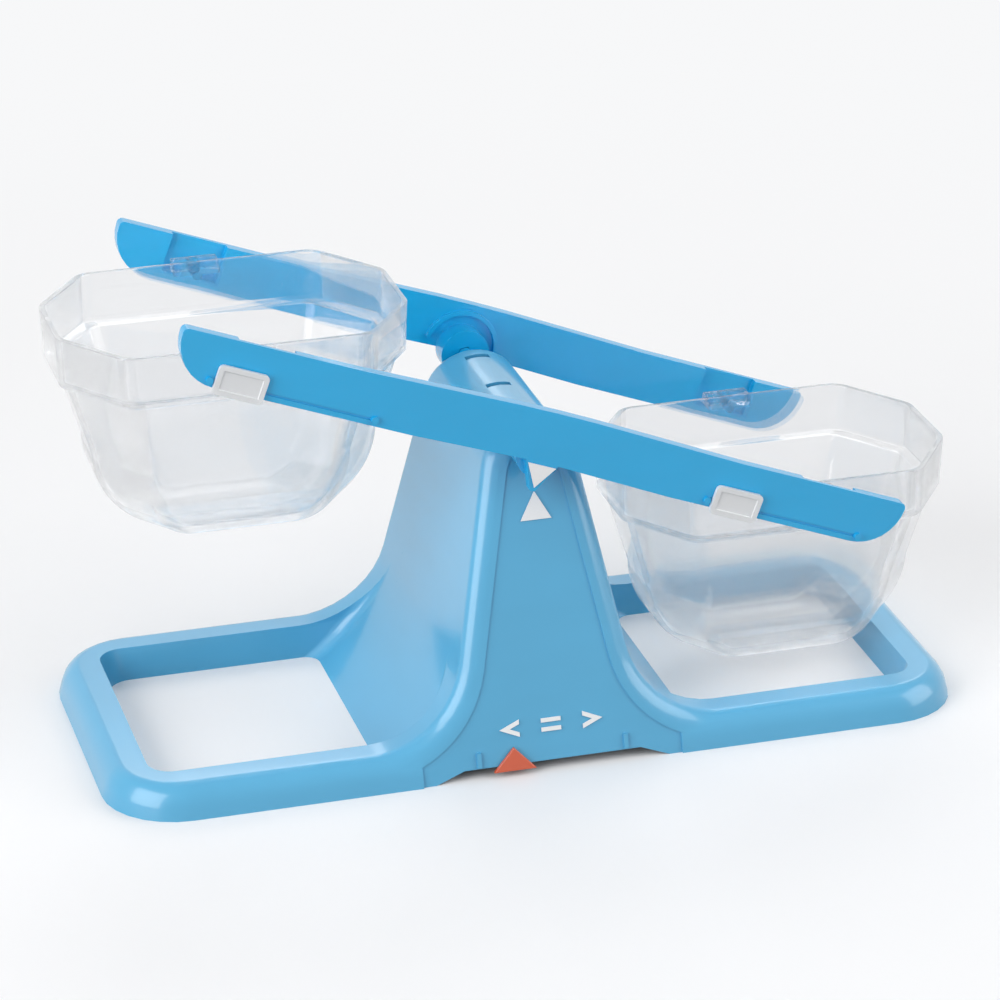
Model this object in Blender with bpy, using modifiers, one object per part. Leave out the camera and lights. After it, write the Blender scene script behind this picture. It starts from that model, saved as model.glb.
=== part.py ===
"""A two-bucket balance for children: a nestable base, a pair of tilting arms and two clear buckets.

The frame has X to the right, Y to the back and Z up, with its origin on the table under the
middle of the base. The balance rests on its stop with the right side down.
"""
import math

import bmesh
import bpy
from mathutils import Matrix, Vector

MM = 0.001

# Clearances
GAP = 0.3 * MM
RUNNING_GAP = 0.3 * MM
BELOW = 1.0 * MM
OVERLAP = 0.5 * MM

# Base moulding
BASE_LENGTH = 330.0 * MM
BASE_DEPTH = 143.0 * MM
BASE_CORNER = 29.0 * MM
RAIL_HEIGHT = 12.5 * MM
RAIL_WIDTH = 19.7 * MM
WALL = 2.2 * MM
DRAFT = math.radians(13.2)
EDGE_DROP = 8.0 * MM
EDGE_INSET = 5.6 * MM
EDGE_STEPS = 5
CORNER_STEPS = 7

# Tower
TOWER_HEIGHT = 127.5 * MM
RIDGE_RADIUS = 18.5 * MM
SIDE_DRAFT = math.radians(11.2)
FOOT_FILLET = 36.0 * MM
FILLET_STEPS = 9
RIDGE_STEPS = 16
TOWER_SETBACK = 0.3 * MM
FILLET_SINK = 0.05 * MM

# Windows beside the tower
VALLEY_RADIUS = 63.0 * MM
VALLEY_STEPS = 9
WINDOW_TOWER_CORNER = 6.0 * MM

# Front panel, arch, stops and ridge slots
PANEL_MARGIN = 0.4 * MM
PANEL_RECESS = 0.6 * MM
PANEL_FOOT = 50.0 * MM
ARCH_HEIGHT = 4.0 * MM
ARCH_HALF_TOP = 34.0 * MM
ARCH_HALF_FOOT = 45.0 * MM
ARCH_CUT_DEPTH = 9.0 * MM
STOP_SPREAD = 28.3 * MM
STOP_WIDTH = 1.6 * MM
STOP_BOTTOM = 4.6 * MM
STOP_HEIGHT = 5.5 * MM
STOP_PROUD = 1.0 * MM
SLOT_LENGTH = 9.5 * MM
SLOT_WIDTH = 3.2 * MM
SLOT_PITCH = 30.0 * MM

# Pivot
PIVOT_HEIGHT = 121.5 * MM
TILT = math.radians(20.6)
AXLE_RADIUS = 2.8 * MM
KEY_LENGTH = 6.0 * MM
KEY_SIDES = 6
HUB_RADIUS = 9.5 * MM
HUB_REACH = 8.5 * MM
RIB_RADIUS = 15.0 * MM
RIB_WIDTH = 1.7 * MM
RIB_PROUD = 1.5 * MM

# Arms, in the pivot's own frame: along the arm, and up from the pivot
ARM_LENGTH = 289.0 * MM
ARM_THICKNESS = 5.0 * MM
ARM_SPREAD = 56.0 * MM
ARM_TOP = 15.5 * MM
ARM_BOTTOM = -3.5 * MM
ARM_END_RADIUS = 17.0 * MM
ARM_CORNER = 2.0 * MM
ARM_EDGE = 0.9 * MM
HUMP_RISE = 2.0 * MM
HUMP_REACH = 90.0 * MM
BELLY_RISE = 1.5 * MM
BELLY_REACH = 62.0 * MM
TONGUE_HALF = 6.4 * MM
TONGUE_DEPTH = 9.8 * MM
TONGUE_TIP = 0.9 * MM

# Bucket seats in the arms
SEAT_REACH = 112.5 * MM
SEAT_WIDTH = 22.0 * MM
SEAT_DEPTH = 3.0 * MM
SEAT_FLOOR = 0.5 * MM
PIN_RISE = 5.0 * MM
PIN_RADIUS = 2.0 * MM
CRADLE_WIDTH = 9.0 * MM
CRADLE_LIP = 1.4 * MM

# Sliding compensators on the front arm
TRACK_START = 68.0 * MM
TRACK_LENGTH = 60.5 * MM
TRACK_RISE = 2.0 * MM
TRACK_WIDTH = 1.0 * MM
TRACK_CUT = 0.6 * MM
TRACK_STOP_RADIUS = 1.4 * MM
TRACK_STOP_PROUD = 1.2 * MM
SLIDER_WIDTH = 19.0 * MM
SLIDER_TOP = 6.0 * MM
SLIDER_SKIN = 1.6 * MM
SLIDER_WEB = 1.4 * MM
SLIDER_LIP = 0.9 * MM
SLIDER_LIP_HEIGHT = 2.8 * MM
SLIDER_CORNER = 1.8 * MM

# Buckets, measured from the pins
RIM_HALF_LENGTH = 65.0 * MM
RIM_HALF_DEPTH = 47.0 * MM
RIM_ABOVE_PIN = 5.5 * MM
BAND_HEIGHT = 19.0 * MM
BAND_DRAFT = 0.8 * MM
LEDGE_STEP = 3.0 * MM
LEDGE_DROP = 1.5 * MM
BODY_TAPER = math.radians(16.0)
BUCKET_DEPTH = 81.0 * MM
END_ROUNDING = 32.0 * MM
SIDE_ROUNDING = 12.0 * MM
ROUNDING_STEPS = 10
BUCKET_WALL = 2.0 * MM
PLAN_CUT_ALONG = 0.31
PLAN_CUT_ACROSS = 0.62
PLAN_CORNER = 9.0 * MM
PLAN_CORNER_STEPS = 3
TAB_WIDTH = 17.5 * MM
TAB_HEIGHT = 5.0 * MM
TAB_BELOW_RIM = 0.5 * MM

# Pointer under the comparison signs
POINTER_WIDTH = 16.4 * MM
POINTER_HEIGHT = 8.4 * MM
POINTER_BOTTOM = 2.4 * MM
POINTER_THICKNESS = 1.5 * MM
POINTER_PLACE = -15.0 * MM
HOOK_WIDTH = 9.0 * MM
HOOK_THICKNESS = 1.2 * MM
HOOK_TOP = 9.5 * MM

# Printed signs
MARK_THICKNESS = 0.25 * MM
SIGN_PITCH = 16.0 * MM
SIGN_HEIGHT = 17.3 * MM
SIGN_WIDTH = 7.6 * MM
SIGN_RISE = 6.4 * MM
SIGN_STROKE = 1.5 * MM
EQUAL_PITCH = 3.4 * MM
TOWER_TRIANGLE_WIDTH = 11.8 * MM
TOWER_TRIANGLE_RISE = 10.4 * MM
TOWER_TRIANGLE_BOTTOM = 92.5 * MM
ARM_TRIANGLE_BORDER = 0.8 * MM

BLUE = (0.06, 0.36, 0.72)
CLEAR = (0.92, 0.96, 0.98)
ORANGE_RED = (0.86, 0.16, 0.07)
WHITE = (0.93, 0.94, 0.95)


def empty_scene():
    """Remove the objects that a new file starts with, and make the two collections."""
    for item in list(bpy.data.objects):
        bpy.data.objects.remove(item, do_unlink=True)
    collections = []
    for name in ("bucket_balance", "cutters"):
        group = bpy.data.collections.new(name)
        bpy.context.scene.collection.children.link(group)
        collections.append(group)
    return collections


def add_object(name, mesh, group, parent=None):
    """Put a mesh in the scene under its own name, as a piece or as a cutter."""
    item = bpy.data.objects.new(name, mesh)
    group.objects.link(item)
    if group.name == "cutters":
        item.hide_render = True
        item.display_type = "WIRE"
    if parent:
        item.parent = parent
    return item


def finish_mesh(name, bm):
    """Turn a closed bmesh into a mesh whose faces point out and whose round sides are smooth."""
    bmesh.ops.recalc_face_normals(bm, faces=bm.faces)
    mesh = bpy.data.meshes.new(name)
    bm.to_mesh(mesh)
    bm.free()
    mesh.shade_smooth()
    mesh.set_sharp_from_angle(angle=math.radians(35))
    return mesh


def loft(name, rings, group, parent=None):
    """Join rings of points, each with as many points as the next, and close both ends."""
    bm = bmesh.new()
    loops = [[bm.verts.new(point) for point in ring] for ring in rings]
    count = len(rings[0])
    for near, far in zip(loops, loops[1:]):
        for i in range(count):
            j = (i + 1) % count
            bm.faces.new((near[i], near[j], far[j], far[i]))
    bm.faces.new(loops[0])
    bm.faces.new(loops[-1])
    return add_object(name, finish_mesh(name, bm), group, parent)


def flat_plate(name, outline, y_from, y_to, group, parent=None):
    """Extrude an outline of (x, z) points from one distance along Y to another."""
    curve = bpy.data.curves.new(name + "_outline", "CURVE")
    curve.dimensions = "2D"
    curve.fill_mode = "BOTH"
    curve.extrude = abs(y_to - y_from) / 2
    spline = curve.splines.new("POLY")
    spline.points.add(len(outline) - 1)
    for point, (x, z) in zip(spline.points, outline):
        point.co = (x, z, 0, 1)
    spline.use_cyclic_u = True
    guide = bpy.data.objects.new(name + "_outline", curve)
    bpy.context.scene.collection.objects.link(guide)
    graph = bpy.context.evaluated_depsgraph_get()
    filled = bpy.data.meshes.new_from_object(guide.evaluated_get(graph))
    bpy.data.objects.remove(guide, do_unlink=True)
    bm = bmesh.new()
    bm.from_mesh(filled)
    bpy.data.meshes.remove(filled)
    bmesh.ops.remove_doubles(bm, verts=bm.verts, dist=0.00001)
    upright = Matrix.Rotation(math.radians(90), 4, "X")
    middle = Matrix.Translation((0, (y_from + y_to) / 2, 0))
    bmesh.ops.transform(bm, matrix=middle @ upright, verts=bm.verts)
    return add_object(name, finish_mesh(name, bm), group, parent)


def box(name, x_span, y_span, z_span, group, parent=None):
    """Make a box from its low and high value along each axis."""
    spans = (x_span, y_span, z_span)
    size = [abs(high - low) for low, high in spans]
    centre = [(low + high) / 2 for low, high in spans]
    bm = bmesh.new()
    bmesh.ops.create_cube(bm, size=1, matrix=Matrix.Translation(centre) @ Matrix.Diagonal((*size, 1)))
    return add_object(name, finish_mesh(name, bm), group, parent)


def rod(name, radius, y_from, y_to, group, parent=None, sides=40, x=0.0, z=0.0):
    """Make a cylinder, or a prism with a few sides, that lies along Y."""
    bm = bmesh.new()
    bmesh.ops.create_cone(
        bm, cap_ends=True, segments=sides, radius1=radius, radius2=radius, depth=abs(y_to - y_from)
    )
    along_y = Matrix.Rotation(math.radians(90), 4, "X")
    place = Matrix.Translation((x, (y_from + y_to) / 2, z))
    bmesh.ops.transform(bm, matrix=place @ along_y, verts=bm.verts)
    return add_object(name, finish_mesh(name, bm), group, parent)


def combine(target, tool, operation):
    """Add a live Boolean to a piece."""
    change = target.modifiers.new(operation.lower() + "_" + tool.name, "BOOLEAN")
    change.operation = operation
    change.object = tool
    change.solver = "EXACT"


def soften(target, width, segments=2):
    """Round a piece's sharp edges."""
    change = target.modifiers.new("soft_edges", "BEVEL")
    change.width = width
    change.segments = segments
    change.limit_method = "ANGLE"
    change.angle_limit = math.radians(40)


def paint(item, colour, roughness, transmission=0.0):
    """Give a piece its own plastic."""
    material = bpy.data.materials.new(item.name + "_plastic")
    material.use_nodes = True
    shader = material.node_tree.nodes["Principled BSDF"]
    shader.inputs["Base Color"].default_value = (*colour, 1)
    shader.inputs["Roughness"].default_value = roughness
    shader.inputs["Metallic"].default_value = 0.0
    shader.inputs["Transmission Weight"].default_value = transmission
    item.data.materials.clear()
    item.data.materials.append(material)


def arc(centre, radius, start, end, steps):
    """Return points along an arc, from one angle in degrees to another."""
    points = []
    for i in range(steps + 1):
        angle = math.radians(start + (end - start) * i / steps)
        points.append((centre[0] + radius * math.cos(angle), centre[1] + radius * math.sin(angle)))
    return points


def rounded_polygon(corners, radius, steps):
    """Round every corner of a convex outline that runs counterclockwise."""
    points = []
    count = len(corners)
    for i, corner in enumerate(corners):
        before = corners[i - 1]
        after = corners[(i + 1) % count]
        incoming = math.atan2(corner[1] - before[1], corner[0] - before[0])
        outgoing = math.atan2(after[1] - corner[1], after[0] - corner[0])
        turn = (outgoing - incoming) % (2 * math.pi)
        setback = radius * math.tan(turn / 2)
        start = (corner[0] - setback * math.cos(incoming), corner[1] - setback * math.sin(incoming))
        centre = (start[0] - radius * math.sin(incoming), start[1] + radius * math.cos(incoming))
        first = math.degrees(incoming) - 90
        points += arc(centre, radius, first, first + math.degrees(turn), steps)
    return points


def edge_profile():
    """Return how far each step of the base's rounded edge lies below its top and inside its face."""
    steps = []
    for i in range(EDGE_STEPS + 1):
        angle = math.radians(90) * i / EDGE_STEPS
        steps.append((EDGE_DROP * (1 - math.sin(angle)), EDGE_INSET * (1 - math.cos(angle))))
    return steps


def half_depth_at(z):
    """Return the distance of the base's leaning front face from the middle."""
    return BASE_DEPTH / 2 - math.tan(DRAFT) * z


def tower_face_at(z):
    """Return the distance of the tower's front face from the middle."""
    return half_depth_at(z) - TOWER_SETBACK


def ridge_centre():
    """Return the centre of the rounded ridge, as (x, z)."""
    return 0.0, TOWER_HEIGHT - RIDGE_RADIUS


def side_normal():
    """Return the direction that the tower's right side faces."""
    return math.cos(SIDE_DRAFT), math.sin(SIDE_DRAFT)


def side_anchor():
    """Return the point where the ridge meets the tower's right side."""
    x, z = ridge_centre()
    normal = side_normal()
    return x + RIDGE_RADIUS * normal[0], z + RIDGE_RADIUS * normal[1]


def fillet_centre():
    """Return the centre of the fillet between the tower's right side and the rails."""
    anchor = side_anchor()
    normal = side_normal()
    z = RAIL_HEIGHT + FOOT_FILLET - FILLET_SINK
    x = anchor[0] + (FOOT_FILLET - normal[1] * (z - anchor[1])) / normal[0]
    return x, z


def valley_centre():
    """Return the centre of the wider curve that ends each window at the tower."""
    x, z = fillet_centre()
    normal = side_normal()
    further = VALLEY_RADIUS - FOOT_FILLET
    return x + further * normal[0], z + further * normal[1]


def bell_outline(offset, bottom, reach=None):
    """Return the tower's outline as (x, z) points, moved inwards by an offset."""
    x, z = fillet_centre()
    radius = FOOT_FILLET + offset
    side_angle = -180 + math.degrees(SIDE_DRAFT)
    start = -90.0
    if reach is not None:
        start = -math.degrees(math.acos((reach - x) / radius))
    right = arc((x, z), radius, start, side_angle, FILLET_STEPS)
    ridge_end = math.degrees(SIDE_DRAFT)
    ridge = arc(ridge_centre(), RIDGE_RADIUS - offset, ridge_end, 180 - ridge_end, RIDGE_STEPS)
    left = [(-px, pz) for px, pz in reversed(right)]
    right_foot = (right[0][0], bottom)
    left_foot = (-right[0][0], bottom)
    return [right_foot] + right + ridge + left + [left_foot]


def leaning_ring(outline, depth):
    """Lay an outline parallel to the tower's front face, at a depth behind it."""
    return [(x, -(tower_face_at(z) - depth), z) for x, z in outline]


def tower_body(name, skin, bottom, group):
    """Make the tower's solid, or the hollow in it at a wall's distance."""
    shrink = skin / math.cos(DRAFT)
    front = []
    for drop, inset in edge_profile():
        front.append(leaning_ring(bell_outline(skin + drop, bottom), shrink + inset))
    back = [[(x, -y, z) for x, y, z in ring] for ring in reversed(front)]
    return loft(name, front + back, group)


def plan_ring(half_x, half_y, radius, z):
    """Return a rounded rectangle at a height."""
    corners = [(half_x, -half_y), (half_x, half_y), (-half_x, half_y), (-half_x, -half_y)]
    return [(x, y, z) for x, y in rounded_polygon(corners, radius, CORNER_STEPS)]


def rail_body(name, skin, bottom, group):
    """Make the flat frame's solid without its windows, or the hollow in it."""
    shrink = skin / math.cos(DRAFT)
    levels = [(bottom, 0.0)]
    for drop, inset in edge_profile():
        levels.append((RAIL_HEIGHT - skin - drop, inset))
    rings = []
    for z, inset in levels:
        inward = shrink + inset + math.tan(DRAFT) * z
        half_x = BASE_LENGTH / 2 - inward
        half_y = BASE_DEPTH / 2 - inward
        rings.append(plan_ring(half_x, half_y, BASE_CORNER - inward, z))
    return loft(name, rings, group)


def window_body(name, side, grow, group):
    """Make the space of one window, or that space with a wall's thickness round it."""
    spread = grow / math.cos(DRAFT)
    x_centre, z_centre = valley_centre()
    radius = VALLEY_RADIUS + grow
    top = z_centre - radius * math.sin(SIDE_DRAFT)
    lean = math.tan(DRAFT)
    corner = BASE_CORNER - RAIL_WIDTH + spread
    heights = [RAIL_HEIGHT]
    for i in range(VALLEY_STEPS + 1):
        heights.append(-2 * BELOW + (top + 2 * BELOW) * i / VALLEY_STEPS)
    rings = []
    for z in sorted(heights):
        inner = x_centre - math.sqrt(radius ** 2 - (z - z_centre) ** 2)
        outer = BASE_LENGTH / 2 - RAIL_WIDTH + spread + lean * z
        half_y = BASE_DEPTH / 2 - RAIL_WIDTH + spread + lean * (RAIL_HEIGHT - abs(RAIL_HEIGHT - z))
        near = WINDOW_TOWER_CORNER
        outline = arc((inner + near, half_y - near), near, 180, 90, CORNER_STEPS)
        outline += arc((outer - corner, half_y - corner), corner, 90, 0, CORNER_STEPS)
        outline += [(x, -y) for x, y in reversed(outline)]
        rings.append([(side * x, y, z) for x, y in outline])
    return loft(name, rings, group)


def base_shell(pieces, cutters):
    """Make the base: one open-bottomed moulding with a tower, two windows and four rails."""
    shell = tower_body("base_shell", 0.0, 0.0, pieces)
    combine(shell, rail_body("rails", 0.0, 0.0, cutters), "UNION")
    hollow = tower_body("hollow", WALL, -BELOW, cutters)
    combine(hollow, rail_body("rail_hollow", WALL, -BELOW, cutters), "UNION")
    for side, word in ((-1, "left"), (1, "right")):
        combine(shell, window_body(word + "_window", side, 0.0, cutters), "DIFFERENCE")
        combine(hollow, window_body(word + "_window_wall", side, WALL, cutters), "DIFFERENCE")
    combine(shell, hollow, "DIFFERENCE")
    combine(shell, panel_cut(cutters), "DIFFERENCE")
    combine(shell, arch_cut(cutters), "DIFFERENCE")
    combine(shell, bearing_cut(cutters), "DIFFERENCE")
    for i in (-1, 0, 1):
        combine(shell, slot_cut(i, cutters), "DIFFERENCE")
    for side, word in ((-1, "left"), (1, "right")):
        combine(shell, pointer_stop(word + "_stop", side, cutters), "UNION")
    paint(shell, BLUE, 0.3)
    return shell


def panel_cut(cutters):
    """Sink the flat front panel a little below the rounded edges beside it."""
    outline = bell_outline(EDGE_DROP + PANEL_MARGIN, -2 * BELOW, PANEL_FOOT)
    return loft("panel", [leaning_ring(outline, -3 * BELOW), leaning_ring(outline, PANEL_RECESS)], cutters)


def arch_cut(cutters):
    """Raise the middle of the front bottom edge, which leaves room for the pointer's hook."""
    flare = (ARCH_HALF_FOOT - ARCH_HALF_TOP) / ARCH_HEIGHT
    foot = ARCH_HALF_FOOT + flare * BELOW
    outline = [(-foot, -BELOW), (foot, -BELOW), (ARCH_HALF_TOP, ARCH_HEIGHT), (-ARCH_HALF_TOP, ARCH_HEIGHT)]
    front = -BASE_DEPTH / 2 - BELOW
    return flat_plate("arch", outline, front, front + ARCH_CUT_DEPTH, cutters)


def bearing_cut(cutters):
    """Cut the bearing holes through both end walls of the ridge."""
    reach = BASE_DEPTH / 2
    return rod("bearing", AXLE_RADIUS + RUNNING_GAP, -reach, reach, cutters, sides=40, z=PIVOT_HEIGHT)


def slot_cut(index, cutters):
    """Cut one of the three slots across the top of the ridge."""
    y = index * SLOT_PITCH
    half = SLOT_WIDTH / 2
    low = TOWER_HEIGHT - WALL - 2 * BELOW
    name = "slot_" + str(index + 2)
    x_span = (-SLOT_LENGTH / 2, SLOT_LENGTH / 2)
    return box(name, x_span, (y - half, y + half), (low, TOWER_HEIGHT + BELOW), cutters)


def pointer_stop(name, side, cutters):
    """Make one of the two small ribs that end the pointer's travel."""
    x = side * STOP_SPREAD
    half = STOP_WIDTH / 2
    top = STOP_BOTTOM + STOP_HEIGHT
    outline = [(x - half, STOP_BOTTOM), (x + half, STOP_BOTTOM), (x + half, top), (x - half, top)]
    near = leaning_ring(outline, PANEL_RECESS - STOP_PROUD)
    return loft(name, [near, leaning_ring(outline, PANEL_RECESS + OVERLAP)], cutters)


def comparison_pointer(pieces, cutters):
    """Make the sliding triangle with the hook that grips the base's front wall."""
    half = POINTER_WIDTH / 2
    top = POINTER_BOTTOM + POINTER_HEIGHT
    outline = [(-half, POINTER_BOTTOM), (half, POINTER_BOTTOM), (0.0, top)]
    back = PANEL_RECESS - GAP
    rings = [leaning_ring(outline, back - POINTER_THICKNESS), leaning_ring(outline, back)]
    pointer = loft("comparison_pointer", rings, pieces)
    combine(pointer, pointer_hook(back, cutters), "UNION")
    pointer.location.x = POINTER_PLACE
    paint(pointer, ORANGE_RED, 0.35)
    return pointer


def pointer_hook(back, cutters):
    """Make the hook: under the wall's bottom edge and up behind its inner face."""
    inner = WALL / math.cos(DRAFT) + GAP
    web_top = ARCH_HEIGHT - GAP
    section = [
        (back - OVERLAP, POINTER_BOTTOM),
        (inner + HOOK_THICKNESS, POINTER_BOTTOM),
        (inner + HOOK_THICKNESS, HOOK_TOP),
        (inner, HOOK_TOP),
        (inner, web_top),
        (back - OVERLAP, web_top),
    ]
    rings = []
    for x in (-HOOK_WIDTH / 2, HOOK_WIDTH / 2):
        rings.append([(x, -(tower_face_at(z) - depth), z) for depth, z in section])
    hook = loft("hook", rings, cutters)
    hook.location.x = POINTER_PLACE
    return hook


def bump(u, rise, reach):
    """Return a smooth rise that fades out at a reach on each side of the middle."""
    if abs(u) >= reach:
        return 0.0
    return rise * math.cos(math.pi * u / (2 * reach)) ** 2


def arm_outline(with_tongue):
    """Return the arm's outline in the pivot's frame."""
    half = ARM_LENGTH / 2
    lower = (half - ARM_END_RADIUS, ARM_BOTTOM + ARM_END_RADIUS)
    upper = (half - ARM_CORNER, ARM_TOP - ARM_CORNER)
    right_end = arc(lower, ARM_END_RADIUS, -90, 0, 8) + arc(upper, ARM_CORNER, 0, 90, 3)
    top = []
    for i in range(-6, 7):
        u = -HUMP_REACH * i / 6
        top.append((u, ARM_TOP + bump(u, HUMP_RISE, HUMP_REACH)))
    left_end = [(-u, w) for u, w in reversed(right_end)]
    belly = []
    for i in range(-6, 7):
        u = BELLY_REACH * i / 6
        if with_tongue and i == 0:
            root = ARM_BOTTOM + bump(TONGUE_HALF, BELLY_RISE, BELLY_REACH)
            tip = ARM_BOTTOM - TONGUE_DEPTH
            belly += [(-TONGUE_HALF, root), (-TONGUE_TIP, tip), (TONGUE_TIP, tip), (TONGUE_HALF, root)]
        else:
            belly.append((u, ARM_BOTTOM + bump(u, BELLY_RISE, BELLY_REACH)))
    return right_end + top + left_end + belly


def cradle_outline(u):
    """Return the outline of the block with a round notch that carries a bucket's pin."""
    half = CRADLE_WIDTH / 2
    notch = PIN_RADIUS + GAP
    top = PIN_RISE + CRADLE_LIP
    low = SEAT_FLOOR - OVERLAP
    outline = [(-half, low), (half, low), (half, top), (notch, top)]
    outline += arc((0, PIN_RISE), notch, 0, -180, 10)
    outline += [(-notch, top), (-half, top)]
    return [(u + x, w) for x, w in outline]


def arm(name, side, pivot, pieces, cutters):
    """Make one arm with its hub, arch rib and bucket seats; side is -1 in front and 1 behind."""
    inner = side * ARM_SPREAD
    plate = flat_plate(name, arm_outline(side < 0), inner, inner + side * ARM_THICKNESS, pieces, pivot)
    soften(plate, ARM_EDGE)
    into = inner + side * OVERLAP
    hub = rod(name + "_hub", HUB_RADIUS, into, inner - side * HUB_REACH, cutters, pivot, 48)
    combine(plate, hub, "UNION")
    rib = arc((0, 0), RIB_RADIUS, 4, 176, 20) + arc((0, 0), RIB_RADIUS - RIB_WIDTH, 176, 4, 20)
    combine(plate, flat_plate(name + "_rib", rib, into, inner - side * RIB_PROUD, cutters, pivot), "UNION")
    seat_back = inner + side * SEAT_DEPTH
    for end, word in ((-1, "_left"), (1, "_right")):
        u = end * SEAT_REACH
        x_span = (u - SEAT_WIDTH / 2, u + SEAT_WIDTH / 2)
        y_span = sorted((inner - side * BELOW, seat_back))
        seat = box(name + word + "_seat", x_span, y_span, (SEAT_FLOOR, 2 * ARM_TOP), cutters, pivot)
        combine(plate, seat, "DIFFERENCE")
        cradle_name = name + word + "_cradle"
        cradle_back = seat_back + side * OVERLAP
        cradle_face = inner + side * GAP
        cradle = flat_plate(cradle_name, cradle_outline(u), cradle_back, cradle_face, cutters, pivot)
        combine(plate, cradle, "UNION")
    socket_radius = AXLE_RADIUS + GAP / math.cos(math.pi / KEY_SIDES)
    mouth = inner - side * (HUB_REACH + BELOW)
    socket_end = inner - side * (HUB_REACH - KEY_LENGTH - GAP)
    socket = rod(name + "_socket", socket_radius, mouth, socket_end, cutters, pivot, KEY_SIDES)
    combine(plate, socket, "DIFFERENCE")
    paint(plate, BLUE, 0.3)
    return plate


def slider_tracks(front, pivot, cutters):
    """Cut the two sliders' grooves into the front arm's outer face, and add the stops at their ends."""
    face = -(ARM_SPREAD + ARM_THICKNESS)
    low = ARM_BOTTOM + TRACK_RISE
    for start, word in ((-TRACK_START - TRACK_LENGTH, "left"), (TRACK_START, "right")):
        x_span = (start, start + TRACK_LENGTH)
        y_span = (face - BELOW, face + TRACK_CUT)
        groove = box(word + "_groove", x_span, y_span, (low, low + TRACK_WIDTH), cutters, pivot)
        combine(front, groove, "DIFFERENCE")
        for u, end in ((start, "_first"), (start + TRACK_LENGTH, "_last")):
            outward = -TRACK_STOP_RADIUS if end == "_first" else TRACK_STOP_RADIUS
            name = word + end + "_stop"
            reach = (face - TRACK_STOP_PROUD, face + TRACK_CUT + OVERLAP)
            height = low + TRACK_WIDTH / 2
            stop = rod(name, TRACK_STOP_RADIUS, *reach, cutters, pivot, 20, u + outward, height)
            combine(front, stop, "UNION")


def pivot_axle(pivot, pieces, cutters):
    """Make the shaft through the ridge, with a six-sided key at each end."""
    key_face = ARM_SPREAD - HUB_REACH - OVERLAP
    key_end = ARM_SPREAD - HUB_REACH + KEY_LENGTH
    axle = rod("pivot_axle", AXLE_RADIUS, -key_face, key_face, pieces, pivot)
    combine(axle, rod("axle_key", AXLE_RADIUS, -key_end, key_end, cutters, pivot, KEY_SIDES), "UNION")
    paint(axle, BLUE, 0.3)
    return axle


def compensator(name, place, pivot, pieces, cutters):
    """Make one clear slider, which hooks round the front arm's lower edge."""
    half = SLIDER_WIDTH / 2
    low = ARM_BOTTOM - GAP - SLIDER_WEB
    corners = [(-half, low), (half, low), (half, SLIDER_TOP), (-half, SLIDER_TOP)]
    outer = -(ARM_SPREAD + ARM_THICKNESS + GAP)
    outline = rounded_polygon(corners, SLIDER_CORNER, 4)
    skin = flat_plate(name, outline, outer - SLIDER_SKIN, outer, pieces, pivot)
    inner = -(ARM_SPREAD - GAP)
    section = [
        (outer - OVERLAP, low + OVERLAP),
        (inner + SLIDER_LIP, low + OVERLAP),
        (inner + SLIDER_LIP, low + SLIDER_LIP_HEIGHT + SLIDER_WEB),
        (inner, low + SLIDER_LIP_HEIGHT + SLIDER_WEB),
        (inner, ARM_BOTTOM - GAP),
        (outer - OVERLAP, ARM_BOTTOM - GAP),
    ]
    width = half - SLIDER_CORNER
    hook = loft(name + "_hook", [[(x, y, w) for y, w in section] for x in (-width, width)], cutters, pivot)
    combine(skin, hook, "UNION")
    for item in (skin, hook):
        item.location.x = place
    paint(skin, CLEAR, 0.08, 0.9)
    return skin


def bucket_ring(half_x, half_y, z):
    """Return one eight-sided section of a bucket with softened corners."""
    along = half_x * (1 - PLAN_CUT_ALONG)
    across = half_y * (1 - PLAN_CUT_ACROSS)
    quarter = [(half_x, across), (along, half_y)]
    corners = [(half_x, -across), *quarter, (-along, half_y), (-half_x, across), (-half_x, -across)]
    corners += [(-along, -half_y), (along, -half_y)]
    radius = PLAN_CORNER * half_x / RIM_HALF_LENGTH
    return [(x, y, z) for x, y in rounded_polygon(corners, radius, PLAN_CORNER_STEPS)]


def bucket_inset(depth, rounding):
    """Return how far a bucket's wall lies inside its rim at a depth, given the rounding at its bottom."""
    if depth <= BAND_HEIGHT:
        return BAND_DRAFT * depth / BAND_HEIGHT
    curve_depth = BUCKET_DEPTH - rounding
    straight = min(depth, curve_depth) - BAND_HEIGHT - LEDGE_DROP
    inset = BAND_DRAFT + LEDGE_STEP + straight * math.tan(BODY_TAPER)
    if depth > curve_depth:
        inset += rounding - math.sqrt(max(0.0, rounding ** 2 - (depth - curve_depth) ** 2))
    return inset


def bucket_levels():
    """Return the depths under the rim at which the bucket's sections lie."""
    levels = [0.0, BAND_HEIGHT, BAND_HEIGHT + LEDGE_DROP]
    for i in range(ROUNDING_STEPS + 1):
        angle = math.radians(90) * i / ROUNDING_STEPS
        levels.append(BUCKET_DEPTH - END_ROUNDING + END_ROUNDING * math.sin(angle))
    return levels


def bucket_rings(skin):
    """Return the bucket's rings from the rim down, on its outer side or a wall inside it."""
    rings = []
    for depth in bucket_levels():
        lift = min(skin, skin * depth / LEDGE_DROP)
        half_x = RIM_HALF_LENGTH - bucket_inset(depth, END_ROUNDING) - skin
        half_y = RIM_HALF_DEPTH - bucket_inset(depth, SIDE_ROUNDING) - skin
        rings.append(bucket_ring(half_x, half_y, RIM_ABOVE_PIN - depth + lift))
    return rings


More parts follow.
